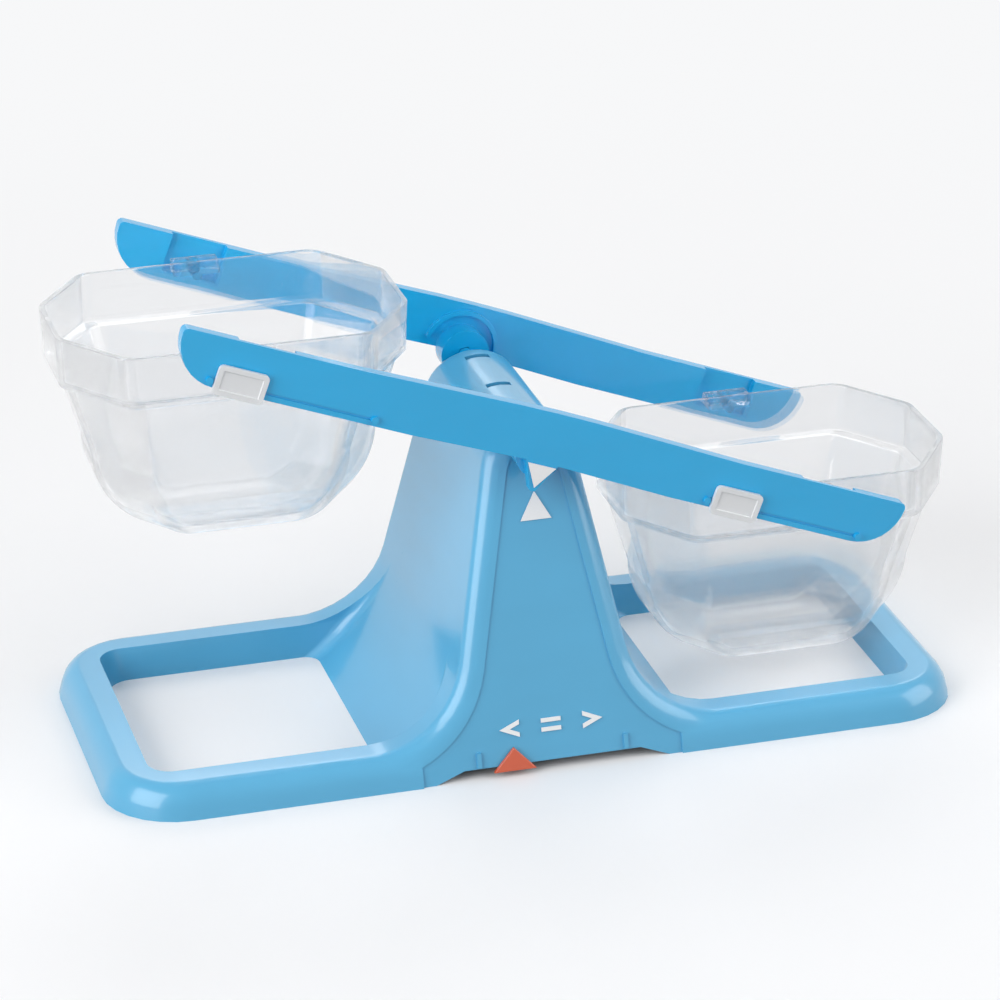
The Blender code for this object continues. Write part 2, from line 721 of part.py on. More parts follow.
def bucket_hanger(name, side, cutters):
    """Make the level tab and the pin on one long side of a bucket."""
    wall = side * (RIM_HALF_DEPTH - BUCKET_WALL + OVERLAP)
    outer = side * (ARM_SPREAD - SLIDER_LIP - 2 * GAP)
    top = RIM_ABOVE_PIN - TAB_BELOW_RIM
    y_span = sorted((wall, outer))
    tab = box(name + "_tab", (-TAB_WIDTH / 2, TAB_WIDTH / 2), y_span, (top - TAB_HEIGHT, top), cutters)
    pin_end = side * (ARM_SPREAD + SEAT_DEPTH - GAP)
    pin = rod(name + "_pin", PIN_RADIUS, wall, pin_end, cutters, sides=24)
    return tab, pin


def bucket(name, end, pieces, cutters):
    """Make one bucket with its origin on its pins, hanging level from the tilted arms."""
    outside = bucket_rings(0.0)
    inside = bucket_rings(BUCKET_WALL)
    body = loft(name, list(reversed(outside)) + inside, pieces)
    pin = Vector((end * SEAT_REACH, 0, PIN_RISE))
    pin.rotate(Matrix.Rotation(TILT, 3, "Y"))
    pin.z += PIVOT_HEIGHT
    body.location = pin
    for side, word in ((-1, "_front"), (1, "_back")):
        for tool in bucket_hanger(name + word, side, cutters):
            tool.location = pin
            combine(body, tool, "UNION")
    paint(body, CLEAR, 0.06, 0.95)
    return body


def printed_mark(name, outline, pieces):
    """Make a thin white sign in front of the panel."""
    back = PANEL_RECESS - GAP
    mark = loft(name, [leaning_ring(outline, back - MARK_THICKNESS), leaning_ring(outline, back)], pieces)
    paint(mark, WHITE, 0.4)
    return mark


def chevron(centre, direction):
    """Return the outline of an angle sign that opens to the right (1) or to the left (-1)."""
    half = SIGN_WIDTH / 2
    rise = SIGN_RISE / 2
    slope = math.hypot(SIGN_WIDTH, rise)
    thick = SIGN_STROKE * slope / SIGN_WIDTH
    nose = SIGN_STROKE * slope / rise
    shape = [
        (half, rise),
        (-half, 0),
        (half, -rise),
        (half, -rise + thick),
        (-half + nose, 0),
        (half, rise - thick),
    ]
    return [(centre + direction * x, SIGN_HEIGHT + z) for x, z in shape]


def comparison_signs(pieces):
    """Make the signs for less than, equal to and greater than, and the tower's triangle."""
    printed_mark("mark_less", chevron(-SIGN_PITCH, 1), pieces)
    printed_mark("mark_greater", chevron(SIGN_PITCH, -1), pieces)
    half = SIGN_WIDTH / 2
    for word, up in (("upper", 1), ("lower", -1)):
        middle = SIGN_HEIGHT + up * EQUAL_PITCH / 2
        low = middle - SIGN_STROKE / 2
        high = middle + SIGN_STROKE / 2
        printed_mark("mark_equal_" + word, [(-half, low), (half, low), (half, high), (-half, high)], pieces)
    base = TOWER_TRIANGLE_WIDTH / 2
    low = TOWER_TRIANGLE_BOTTOM
    printed_mark("tower_triangle", [(-base, low), (base, low), (0, low + TOWER_TRIANGLE_RISE)], pieces)


def arm_triangle(pivot, pieces):
    """Make the white triangle on the front arm's tongue, which points at the tower's when level."""
    half = TONGUE_HALF - ARM_TRIANGLE_BORDER
    top = ARM_BOTTOM + BELLY_RISE - ARM_TRIANGLE_BORDER
    tip = ARM_BOTTOM - TONGUE_DEPTH + 2 * ARM_TRIANGLE_BORDER
    outer = -(ARM_SPREAD + ARM_THICKNESS + GAP)
    outline = [(-half, top), (0, tip), (half, top)]
    mark = flat_plate("arm_triangle", outline, outer - MARK_THICKNESS, outer, pieces, pivot)
    paint(mark, WHITE, 0.4)
    return mark


def build():
    """Build the whole balance."""
    pieces, cutters = empty_scene()
    base_shell(pieces, cutters)
    comparison_pointer(pieces, cutters)
    comparison_signs(pieces)
    pivot = bpy.data.objects.new("beam_pivot", None)
    pieces.objects.link(pivot)
    pivot.location.z = PIVOT_HEIGHT
    pivot.rotation_euler.y = TILT
    front = arm("front_arm", -1, pivot, pieces, cutters)
    slider_tracks(front, pivot, cutters)
    arm("back_arm", 1, pivot, pieces, cutters)
    pivot_axle(pivot, pieces, cutters)
    arm_triangle(pivot, pieces)
    rest = SLIDER_WIDTH / 2 + GAP
    compensator("compensator_left", -TRACK_START - TRACK_LENGTH + rest, pivot, pieces, cutters)
    compensator("compensator_right", TRACK_START + rest, pivot, pieces, cutters)
    bucket("left_bucket", -1, pieces, cutters)
    bucket("right_bucket", 1, pieces, cutters)


build()
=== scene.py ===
"""Finish a two-bucket balance for its picture: mouldings, clear buckets, printed signs and a pale table.

Lengths are in metres. X runs to the right, Y to the back and Z up.
"""
import math

import bmesh
import bpy
from mathutils import Matrix, Vector


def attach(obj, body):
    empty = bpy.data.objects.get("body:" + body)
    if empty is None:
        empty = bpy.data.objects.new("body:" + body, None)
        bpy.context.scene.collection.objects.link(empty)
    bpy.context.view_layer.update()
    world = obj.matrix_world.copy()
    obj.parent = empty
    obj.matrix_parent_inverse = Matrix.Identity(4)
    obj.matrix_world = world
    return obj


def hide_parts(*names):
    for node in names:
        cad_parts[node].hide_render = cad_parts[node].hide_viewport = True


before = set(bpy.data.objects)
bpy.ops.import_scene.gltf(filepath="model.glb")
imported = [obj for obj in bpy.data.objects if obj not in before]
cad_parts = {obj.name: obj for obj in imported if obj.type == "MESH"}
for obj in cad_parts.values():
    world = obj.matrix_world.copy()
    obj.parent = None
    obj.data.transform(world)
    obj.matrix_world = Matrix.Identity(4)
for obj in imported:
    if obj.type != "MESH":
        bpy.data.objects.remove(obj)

bl_info = {
    "name": "Bucket balance dresser",
    "version": (1, 0, 0),
    "blender": (4, 5, 0),
    "location": "3D View > Sidebar > Balance",
    "description": "Gives a packed bucket balance its mouldings, clear buckets, signs and stage",
    "category": "Object",
}

MM = 0.001
WELD = 0.000005
SLIVER = 0.0001 * MM
FLAT_ANGLE = math.radians(0.6)
SHARP_ANGLE = math.radians(32)
ROUNDED_SHARP_ANGLE = math.radians(40)
EDGE_SEGMENTS = 3
FACE_WEIGHT = 80

# Places that the buckets and sliders share with the solids
TILT = math.radians(20.6)
PIVOT_HEIGHT = 121.5 * MM
SEAT_REACH = 112.5 * MM
PIN_RISE = 5.0 * MM
ARM_SPREAD = 56.0 * MM
SEAT_DEPTH = 3.0 * MM
GAP = 0.3 * MM

# Bucket
RIM_HALF_LENGTH = 65.0 * MM
RIM_HALF_DEPTH = 47.0 * MM
RIM_ABOVE_PIN = 5.5 * MM
BAND_HEIGHT = 19.0 * MM
BAND_DRAFT = 0.8 * MM
LEDGE_STEP = 3.0 * MM
LEDGE_DROP = 1.5 * MM
BODY_TAPER = math.radians(16.0)
BUCKET_DEPTH = 81.0 * MM
PLAN_CUT_ALONG = 0.31
PLAN_CUT_ACROSS = 0.62
PLAN_CORNER = 9.0 * MM
PLAN_CORNER_STEPS = 7
LEDGE_ROUNDS = (0.9 * MM, 1.2 * MM)
BOTTOM_STEPS = 26
LIP_STEPS = 10
TAB_WIDTH = 17.5 * MM
TAB_HEIGHT = 5.0 * MM
TAB_BELOW_RIM = 0.5 * MM
TAB_ROUND = 0.6 * MM
PIN_RADIUS = 2.0 * MM
PIN_ROUND = 0.4 * MM
PIN_SIDES = 40
OVERLAP = 0.5 * MM

# Sliders, in the arms' own frame
SLIDER_LIP = 0.9 * MM
LEFT_SLIDER_PLACE = -118.7 * MM
RIGHT_SLIDER_PLACE = 77.8 * MM
SLIDER_FACE = -62.9 * MM
SLIDER_POCKET = 0.5 * MM
SLIDER_HALF = 7.6 * MM
SLIDER_LOW = -3.2 * MM
SLIDER_HIGH = 4.1 * MM
POCKET_ROUND = 0.4 * MM

# Camera, as the photograph was taken
CAMERA_PLACE = (-0.3880, -1.4060, 0.7060)
CAMERA_TARGET = (0.0, 0.0, 0.0800)
CAMERA_ROLL = math.radians(-0.73)
CAMERA_LENS = 151.0
SENSOR_WIDTH = 36.0

# Finishes: roughness of the coloured mouldings, and roughness, cloudiness and body of the clear ones
BASE_GLOSS = 0.24
ARM_GLOSS = 0.20
POINTER_GLOSS = 0.26
PLASTIC_IOR = 1.50
COAT_SHARE = 0.55
COAT_GLOSS = 0.10
BUCKET_FINISH = (0.02, 0.05, 0.62)
SLIDER_FINISH = (0.20, 0.80, 0.98)
CLEAR_IOR = 1.49

# Grain of the materials: waves to a metre, detail and roughness, and for some the stretch along X, Y, Z
CLOUDS = (22.0, 3.0, 0.55)
FLOW = (14.0, 2.0, 0.5, (1.0, 1.0, 5.0))
RUBS = (260.0, 4.0, 0.7, (6.0, 1.0, 1.0))
SKIN = (900.0, 2.0, 0.6)
CLEAR_WAVES = (38.0, 1.0, 0.4)
CLEAR_SKIN = (700.0, 2.0, 0.5)
INK_GRAIN = (1500.0, 3.0, 0.6)
TABLE_GRAIN = (6.0, 2.0, 0.5)

# How far the grain darkens and lightens each colour
MOULDING_SHADES = (0.90, 1.11)
CLEAR_SHADE = 0.965
INK_SHADE = 0.93
TABLE_SHADE = 0.985

# Strength and height of the waves in each surface
MOULDING_WAVES = (0.05, 0.4 * MM)
CLEAR_WAVE = (0.10, 0.6 * MM)
INK_PINHOLES = (0.15, 0.05 * MM)

# Light: name, place, width and power of each lamp, then the levels of the room and where the table fades
LAMPS = (
    ("key_light", (-1.5, -0.75, 0.8), 1.5, 28.0),
    ("fill_light", (1.5, -0.7, 0.8), 1.4, 17.0),
    ("rim_light", (0.4, 1.2, 1.2), 0.9, 6.5),
)
TABLE_BOUNCE = 0.20
BACKDROP_TINT = (0.95, 0.955, 0.965)
BACKDROP_LEVEL = 0.98
ROOM_LEVEL = 0.44
FADE_START = 0.28
FADE_END = 0.80


class BalanceSizes(bpy.types.PropertyGroup):
    """Sizes of the fine forms that the balance gets on top of its solids."""

    shell_round: bpy.props.FloatProperty(
        name="Base edge", description="Radius of the base moulding's small edges",
        default=0.5 * MM, min=0.0, max=1.0 * MM, unit="LENGTH", precision=5,
    )
    arm_round: bpy.props.FloatProperty(
        name="Arm edge", description="Radius of the arms' small inner edges",
        default=0.25 * MM, min=0.0, max=0.5 * MM, unit="LENGTH", precision=5,
    )
    small_round: bpy.props.FloatProperty(
        name="Small part edge", description="Radius of the pointer's edges",
        default=0.25 * MM, min=0.0, max=0.4 * MM, unit="LENGTH", precision=5,
    )
    bucket_wall: bpy.props.FloatProperty(
        name="Bucket wall", description="Thickness of the clear buckets",
        default=2.0 * MM, min=1.0 * MM, max=3.0 * MM, unit="LENGTH", precision=5,
    )
    end_round: bpy.props.FloatProperty(
        name="Bucket ends", description="Radius between the ends and the bottom of a bucket",
        default=32.0 * MM, min=20.0 * MM, max=36.0 * MM, unit="LENGTH", precision=5,
    )
    side_round: bpy.props.FloatProperty(
        name="Bucket sides", description="Radius between the long sides and the bottom of a bucket",
        default=12.0 * MM, min=4.0 * MM, max=20.0 * MM, unit="LENGTH", precision=5,
    )
    floor_size: bpy.props.FloatProperty(
        name="Table", description="Width of the pale table top",
        default=8.0, min=1.0, max=20.0, unit="LENGTH",
    )


def colour_property(name, words, value):
    """Return a colour property with three channels."""
    return bpy.props.FloatVectorProperty(
        name=name, description=words, default=value, size=3, min=0.0, max=1.0, subtype="COLOR"
    )


class BalanceColours(bpy.types.PropertyGroup):
    """Colours of the plastics, the print and the stage."""

    base_blue: colour_property("Base", "Sky blue of the base moulding", (0.085, 0.400, 0.655))
    arm_blue: colour_property("Arms", "Deeper blue of the arms and the axle", (0.004, 0.400, 0.760))
    bucket_clear: colour_property("Buckets", "Tint of the clear buckets", (0.885, 0.893, 0.903))
    slider_clear: colour_property("Sliders", "Tint of the cloudy sliders", (0.930, 0.945, 0.960))
    pointer_red: colour_property("Pointer", "Orange red of the pointer", (0.640, 0.105, 0.040))
    print_white: colour_property("Print", "White of the printed signs", (0.920, 0.930, 0.940))
    table: colour_property("Table", "Pale table top", (0.920, 0.920, 0.926))


class Shade:
    """One output of a shader node, on which sums and products can be written."""

    def __init__(self, graph, socket):
        self.graph = graph
        self.socket = socket

    def _maths(self, operation, first, second):
        return self.graph.add("ShaderNodeMath", {"operation": operation}, {0: first, 1: second})

    def __add__(self, other):
        return self._maths("ADD", self, other)

    __radd__ = __add__

    def __mul__(self, other):
        return self._maths("MULTIPLY", self, other)

    __rmul__ = __mul__


class Graph:
    """The node tree of one material or of the world."""

    def __init__(self, owner):
        owner.use_nodes = True
        self.tree = owner.node_tree
        self.tree.nodes.clear()

    def add(self, kind, settings=None, sockets=None, output=0):
        """Add a node, make its settings, fill or link its sockets, and return one output."""
        node = self.tree.nodes.new(kind)
        for name, value in (settings or {}).items():
            setattr(node, name, value)
        for name, value in (sockets or {}).items():
            self.feed(node.inputs[name], value)
        return Shade(self, node.outputs[output]) if node.outputs else node

    def feed(self, socket, value):
        """Link a socket to a node's output, or set it to a constant."""
        if isinstance(value, Shade):
            self.tree.links.new(value.socket, socket)
        elif isinstance(value, (tuple, list)) and socket.type == "RGBA" and len(value) == 3:
            socket.default_value = (*value, 1)
        else:
            socket.default_value = value

    def place(self):
        """Return the object's own coordinates."""
        return self.add("ShaderNodeTexCoord", output=3)

    def noise(self, scale, detail, roughness, stretch=None):
        """Return a noise value, stretched along an axis if asked."""
        place = self.place()
        if stretch:
            place = self.add(
                "ShaderNodeVectorMath", {"operation": "MULTIPLY"}, {0: place, 1: stretch}
            )
        sockets = {"Vector": place, "Scale": scale, "Detail": detail, "Roughness": roughness}
        return self.add("ShaderNodeTexNoise", {}, sockets)

    def tint(self, colour, other, share):
        """Mix two colours by a share."""
        return self.add("ShaderNodeMix", {"data_type": "RGBA"}, {0: share, 6: colour, 7: other}, 2)

    def seen(self):
        """Return 1 where a ray shows the stage, directly or in a reflection, and 0 where it lights."""
        shown = self.add("ShaderNodeLightPath", output="Is Camera Ray")
        for name in ("Is Glossy Ray", "Is Transmission Ray"):
            shown = shown + self.add("ShaderNodeLightPath", output=name)
        return shown

    def bump(self, height, strength, distance):
        """Return a normal that a height bends."""
        sockets = {"Height": height, "Strength": strength, "Distance": distance}
        return self.add("ShaderNodeBump", {}, sockets)

    def finish(self, kind, shader):
        """Add the output node."""
        self.add(kind, {}, {"Surface": shader})


def scaled(colour, share):
    """Return a colour made darker or lighter."""
    return tuple(min(1.0, channel * share) for channel in colour)


def new_material(name):
    """Return an empty material and its graph."""
    material = bpy.data.materials.new(name)
    return material, Graph(material)


def blue_moulding(name, colour, gloss):
    """Make a coloured moulded plastic: flow clouds, a fine skin and faint rub marks."""
    material, graph = new_material(name)
    clouds = graph.noise(*CLOUDS)
    flow = graph.noise(*FLOW)
    share = clouds * 0.55 + flow * 0.45
    dark, light = MOULDING_SHADES
    body = graph.tint(scaled(colour, dark), scaled(colour, light), share)
    rubbed = graph.noise(*RUBS)
    skin = graph.noise(*SKIN)
    rough = gloss + rubbed * 0.03 + skin * 0.03 + clouds * 0.04
    shader = graph.add("ShaderNodeBsdfPrincipled", {}, {
        "Base Color": body,
        "Roughness": rough,
        "IOR": PLASTIC_IOR,
        "Coat Weight": COAT_SHARE,
        "Coat Roughness": COAT_GLOSS,
        "Normal": graph.bump(clouds, *MOULDING_WAVES),
    })
    graph.finish("ShaderNodeOutputMaterial", shader)
    return material


def clear_moulding(name, colour, rough, cloudiness, body):
    """Make a clear plastic with gentle waves in its surface; its body is how much of it shows."""
    material, graph = new_material(name)
    waves = graph.noise(*CLEAR_WAVES)
    skin = graph.noise(*CLEAR_SKIN)
    shader = graph.add("ShaderNodeBsdfPrincipled", {}, {
        "Base Color": graph.tint(colour, scaled(colour, CLEAR_SHADE), waves),
        "Roughness": rough + skin * 0.03,
        "IOR": CLEAR_IOR,
        "Transmission Weight": 1.0 - cloudiness,
        "Alpha": body,
        "Normal": graph.bump(waves * 0.9 + skin * 0.1, *CLEAR_WAVE),
    })
    graph.finish("ShaderNodeOutputMaterial", shader)
    return material


def printed_ink(name, colour):
    """Make the white print: a dense ink with tiny pinholes and a soft edge to its gloss."""
    material, graph = new_material(name)
    grain = graph.noise(*INK_GRAIN)
    shader = graph.add("ShaderNodeBsdfPrincipled", {}, {
        "Base Color": graph.tint(colour, scaled(colour, INK_SHADE), grain),
        "Roughness": 0.42 + grain * 0.12,
        "Normal": graph.bump(grain, *INK_PINHOLES),
    })
    graph.finish("ShaderNodeOutputMaterial", shader)
    return material


def table_top(name, colour):
    """Make the pale table, which holds the shadow near the balance and fades into the backdrop."""
    material, graph = new_material(name)
    grain = graph.noise(*TABLE_GRAIN)
    shown = graph.tint(colour, scaled(colour, TABLE_SHADE), grain)
    near = graph.add("ShaderNodeBsdfPrincipled", {}, {
        "Base Color": graph.tint(scaled(colour, TABLE_BOUNCE), shown, graph.seen()),
        "Roughness": 0.75 + grain * 0.05,
    })
    far = graph.add("ShaderNodeEmission", {}, {"Color": BACKDROP_TINT, "Strength": BACKDROP_LEVEL})
    reach = graph.add("ShaderNodeVectorMath", {"operation": "LENGTH"}, {0: graph.place()}, 1)
    limits = {"Value": reach, "From Min": FADE_START, "From Max": FADE_END}
    fade = graph.add("ShaderNodeMapRange", {"interpolation_type": "SMOOTHSTEP"}, limits)
    shader = graph.add("ShaderNodeMixShader", {}, {0: fade * graph.seen(), 1: near, 2: far})
    graph.finish("ShaderNodeOutputMaterial", shader)
    return material


def add_piece(name, mesh, materials=()):
    """Put a finished mesh in the scene."""
    piece = bpy.data.objects.new(name, mesh)
    bpy.context.scene.collection.objects.link(piece)
    for material in materials:
        mesh.materials.append(material)
    return piece


def smooth(mesh, angle=SHARP_ANGLE):
    """Shade a mesh smooth, apart from the edges that are sharper than an angle."""
    mesh.shade_smooth()
    mesh.set_sharp_from_angle(angle=angle)


def apply_changes(piece):
    """Make a piece's modifiers part of its mesh, without the faces of no size that they leave."""
    graph = bpy.context.evaluated_depsgraph_get()
    changed = bpy.data.meshes.new_from_object(piece.evaluated_get(graph))
    bm = bmesh.new()
    bm.from_mesh(changed)
    bmesh.ops.remove_doubles(bm, verts=bm.verts, dist=SLIVER)
    bmesh.ops.dissolve_degenerate(bm, dist=SLIVER, edges=bm.edges)
    bm.to_mesh(changed)
    bm.free()
    old = piece.data
    piece.modifiers.clear()
    piece.data = changed
    bpy.data.meshes.remove(old)


def refined(name, node, width, material, cut=None):
    """Return a copy of a solid with an optional cut, rounded small edges and smooth shading.

    The clamp against overlaps narrows the rounding of a whole piece to what its shortest edges allow.
    """
    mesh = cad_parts[node].data.copy()
    bm = bmesh.new()
    bm.from_mesh(mesh)
    bmesh.ops.remove_doubles(bm, verts=bm.verts, dist=WELD)
    bmesh.ops.dissolve_limit(bm, angle_limit=FLAT_ANGLE, verts=bm.verts, edges=bm.edges)
    bmesh.ops.recalc_face_normals(bm, faces=bm.faces)
    bm.to_mesh(mesh)
    bm.free()
    for attribute in ("custom_normal", "sharp_edge", "sharp_face"):
        if attribute in mesh.attributes:
            mesh.attributes.remove(mesh.attributes[attribute])
    mesh.materials.clear()
    piece = add_piece(name, mesh, [material])
    if cut:
        join_solid(piece, cut, "DIFFERENCE")
    smooth(piece.data)
    if width > 0:
        rounding = piece.modifiers.new("small_edges", "BEVEL")
        rounding.width = width
        rounding.segments = EDGE_SEGMENTS
        rounding.limit_method = "ANGLE"
        rounding.angle_limit = SHARP_ANGLE
        rounding.miter_outer = "MITER_ARC"
        rounding.use_clamp_overlap = True
        rounding.harden_normals = False
        apply_changes(piece)
        smooth(piece.data, ROUNDED_SHARP_ANGLE)
    even = piece.modifiers.new("even_normals", "WEIGHTED_NORMAL")
    even.keep_sharp = True
    even.weight = FACE_WEIGHT
    return piece


def arc(centre, radius, start, end, steps):
    """Return points along an arc, from one angle in degrees to another."""
    points = []
    for i in range(steps + 1):
        angle = math.radians(start + (end - start) * i / steps)
        points.append((centre[0] + radius * math.cos(angle), centre[1] + radius * math.sin(angle)))
    return points


def rounded_polygon(corners, radius, steps):
    """Round every corner of a convex outline that runs counterclockwise."""
    points = []
    for i, corner in enumerate(corners):
        before = corners[i - 1]
        after = corners[(i + 1) % len(corners)]
        incoming = math.atan2(corner[1] - before[1], corner[0] - before[0])
        outgoing = math.atan2(after[1] - corner[1], after[0] - corner[0])
        turn = (outgoing - incoming) % (2 * math.pi)
        setback = radius * math.tan(turn / 2)
        start = (corner[0] - setback * math.cos(incoming), corner[1] - setback * math.sin(incoming))
        centre = (start[0] - radius * math.sin(incoming), start[1] + radius * math.cos(incoming))
        first = math.degrees(incoming) - 90
        points += arc(centre, radius, first, first + math.degrees(turn), steps)
    return points


def rounded_path(points, radii, steps=4):
    """Round the inner corners of an open profile, each by its own radius."""
    path = [points[0]]
    for before, corner, after, radius in zip(points, points[1:], points[2:], radii):
        incoming = (Vector(before) - Vector(corner)).normalized()
        outgoing = (Vector(after) - Vector(corner)).normalized()
        half = incoming.angle(outgoing) / 2
        reach = radius / math.tan(half)
        start = Vector(corner) + incoming * reach
        end = Vector(corner) + outgoing * reach
        for i in range(steps + 1):
            share = i / steps
            across = start.lerp(Vector(corner), share).lerp(Vector(corner).lerp(end, share), share)
            path.append(tuple(across))
    path.append(points[-1])
    return path


def bucket_ring(half_x, half_y, z):
    """Return one eight-sided section of a bucket with softened corners."""
    along = half_x * (1 - PLAN_CUT_ALONG)
    across = half_y * (1 - PLAN_CUT_ACROSS)
    corners = [(half_x, -across), (half_x, across), (along, half_y), (-along, half_y)]
    corners += [(-half_x, across), (-half_x, -across), (-along, -half_y), (along, -half_y)]
    radius = PLAN_CORNER * half_x / RIM_HALF_LENGTH
    return [(x, y, z) for x, y in rounded_polygon(corners, radius, PLAN_CORNER_STEPS)]


def wall_inset(depth, rounding):
    """Return how far a wall lies inside the rim below the ledge, for one rounding at the bottom."""
    curve = BUCKET_DEPTH - rounding
    taper = (min(depth, curve) - BAND_HEIGHT - LEDGE_DROP) * math.tan(BODY_TAPER)
    inset = BAND_DRAFT + LEDGE_STEP + taper
    if depth > curve:
        inset += rounding - math.sqrt(max(0.0, rounding ** 2 - (depth - curve) ** 2))
    return inset


def bucket_sections(sizes):
    """Return (inset at the ends, inset at the sides, depth) from the rim to the bottom."""
    curve = BUCKET_DEPTH - sizes.end_round
    ledge = BAND_HEIGHT + LEDGE_DROP
    corners = [(0.0, 0.0), (BAND_DRAFT, BAND_HEIGHT), (wall_inset(ledge, sizes.end_round), ledge)]
    corners.append((wall_inset(curve, sizes.end_round), curve))
    sections = [(inset, inset, depth) for inset, depth in rounded_path(corners, LEDGE_ROUNDS)]
    for i in range(1, BOTTOM_STEPS + 1):
        depth = curve + sizes.end_round * math.sin(math.radians(90) * i / BOTTOM_STEPS)
        sections.append((wall_inset(depth, sizes.end_round), wall_inset(depth, sizes.side_round), depth))
    return sections


def bucket_shell(name, sizes):
    """Return the mesh of a bucket's walls with a rounded lip."""
    wall = sizes.bucket_wall
    outside = bucket_sections(sizes)
    inside = []
    for end, side, depth in outside:
        rise = min(wall, wall * depth / LEDGE_DROP)
        inside.append((end + wall, side + wall, depth - rise))
    lip = []
    for x, z in arc((wall / 2, wall / 4), wall / 2, 180, 360, LIP_STEPS):
        lip.append((x, x, max(0.0, min(z, wall / 4))))
    bm = bmesh.new()
    rings = []
    for end, side, depth in list(reversed(outside[1:])) + lip + inside[1:]:
        points = bucket_ring(RIM_HALF_LENGTH - end, RIM_HALF_DEPTH - side, RIM_ABOVE_PIN - depth)
        rings.append([bm.verts.new(point) for point in points])
    count = len(rings[0])
    for near, far in zip(rings, rings[1:]):
        for i in range(count):
            j = (i + 1) % count
            bm.faces.new((near[i], near[j], far[j], far[i]))
    bm.faces.new(rings[0])
    bm.faces.new(rings[-1])
    bmesh.ops.recalc_face_normals(bm, faces=bm.faces)
    mesh = bpy.data.meshes.new(name)
    bm.to_mesh(mesh)
    bm.free()
    return mesh


def soft_box(name, low, high, radius):
    """Return a box between two corners with rounded edges."""
    bm = bmesh.new()
    centre = (Vector(low) + Vector(high)) / 2
    size = Vector(high) - Vector(low)
    bmesh.ops.create_cube(bm, size=1, matrix=Matrix.Translation(centre) @ Matrix.Diagonal((*size, 1)))
    bmesh.ops.bevel(
        bm, geom=bm.edges[:], offset=radius, segments=EDGE_SEGMENTS, profile=0.5, affect="EDGES",
        clamp_overlap=True,
    )
    mesh = bpy.data.meshes.new(name)
    bm.to_mesh(mesh)
    bm.free()
    return mesh


def soft_pin(name, radius, y_from, y_to):
    """Return a round pin along Y with rounded ends."""
    bm = bmesh.new()
    depth = abs(y_to - y_from)
    bmesh.ops.create_cone(
        bm, cap_ends=True, segments=PIN_SIDES, radius1=radius, radius2=radius, depth=depth
    )
    rims = [edge for edge in bm.edges if any(len(face.verts) > 4 for face in edge.link_faces)]
    bmesh.ops.bevel(
        bm, geom=rims, offset=PIN_ROUND, segments=EDGE_SEGMENTS, profile=0.5, affect="EDGES"
    )
    turn = Matrix.Translation((0, (y_from + y_to) / 2, 0)) @ Matrix.Rotation(math.radians(90), 4, "X")
    bmesh.ops.transform(bm, matrix=turn, verts=bm.verts)
    mesh = bpy.data.meshes.new(name)
    bm.to_mesh(mesh)
    bm.free()
    return mesh


def join_solid(piece, mesh, operation="UNION"):
    """Unite a piece with another closed mesh that overlaps it, or cut that mesh out of it."""
    tool = add_piece("joining_tool", mesh)
    change = piece.modifiers.new("join", "BOOLEAN")
    change.operation = operation
    change.object = tool
    change.solver = "EXACT"
    bpy.context.view_layer.update()
    apply_changes(piece)
    bpy.data.objects.remove(tool, do_unlink=True)


def arm_frame():
    """Return the arms' own frame: along the arm, across it, and up from the pivot."""
    return Matrix.Translation((0, 0, PIVOT_HEIGHT)) @ Matrix.Rotation(TILT, 4, "Y")


def make_bucket(name, node, body, end, material):
    """Build one clear bucket with its tabs and pins, hanging where its solid hangs."""
    sizes = bpy.context.scene.balance_sizes
    piece = add_piece(name, bucket_shell(name, sizes))
    top = RIM_ABOVE_PIN - TAB_BELOW_RIM
    for side in (-1, 1):
        wall = side * (RIM_HALF_DEPTH - sizes.bucket_wall + OVERLAP)
        outer = side * (ARM_SPREAD - SLIDER_LIP - 2 * GAP)
        low = (-TAB_WIDTH / 2, min(wall, outer), top - TAB_HEIGHT)
        high = (TAB_WIDTH / 2, max(wall, outer), top)
        join_solid(piece, soft_box(name + "_tab", low, high, TAB_ROUND))
        reach = side * (ARM_SPREAD + SEAT_DEPTH - GAP)
        join_solid(piece, soft_pin(name + "_pin", PIN_RADIUS, wall, reach))
    pin = arm_frame() @ Vector((end * SEAT_REACH, 0, PIN_RISE))
    piece.data.transform(Matrix.Translation(pin))
    piece.data.materials.clear()
    piece.data.materials.append(material)
    smooth(piece.data)
    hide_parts(node)
    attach(piece, body)


class BALANCE_OT_base(bpy.types.Operator):
    """Finish the base moulding with its tower, windows and rails"""

    bl_idname = "balance.base"
    bl_label = "Base moulding"

    def execute(self, context):
        sizes = context.scene.balance_sizes
        colours = context.scene.balance_colours
        plastic = blue_moulding("sky_blue_moulding", tuple(colours.base_blue), BASE_GLOSS)
        piece = refined("base_moulding", "base_shell", sizes.shell_round, plastic)
        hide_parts("base_shell")
        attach(piece, "base")
        return {"FINISHED"}


class BALANCE_OT_arms(bpy.types.Operator):
    """Finish the two arms and the axle between them"""

    bl_idname = "balance.arms"
    bl_label = "Arms and axle"

    def execute(self, context):
        sizes = context.scene.balance_sizes
        colours = context.scene.balance_colours
        plastic = blue_moulding("deep_blue_moulding", tuple(colours.arm_blue), ARM_GLOSS)
        for name, node in (("near_arm", "front_arm"), ("far_arm", "back_arm"), ("axle", "pivot_axle")):
            piece = refined(name, node, sizes.arm_round, plastic)
            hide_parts(node)
            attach(piece, "beam")
        return {"FINISHED"}


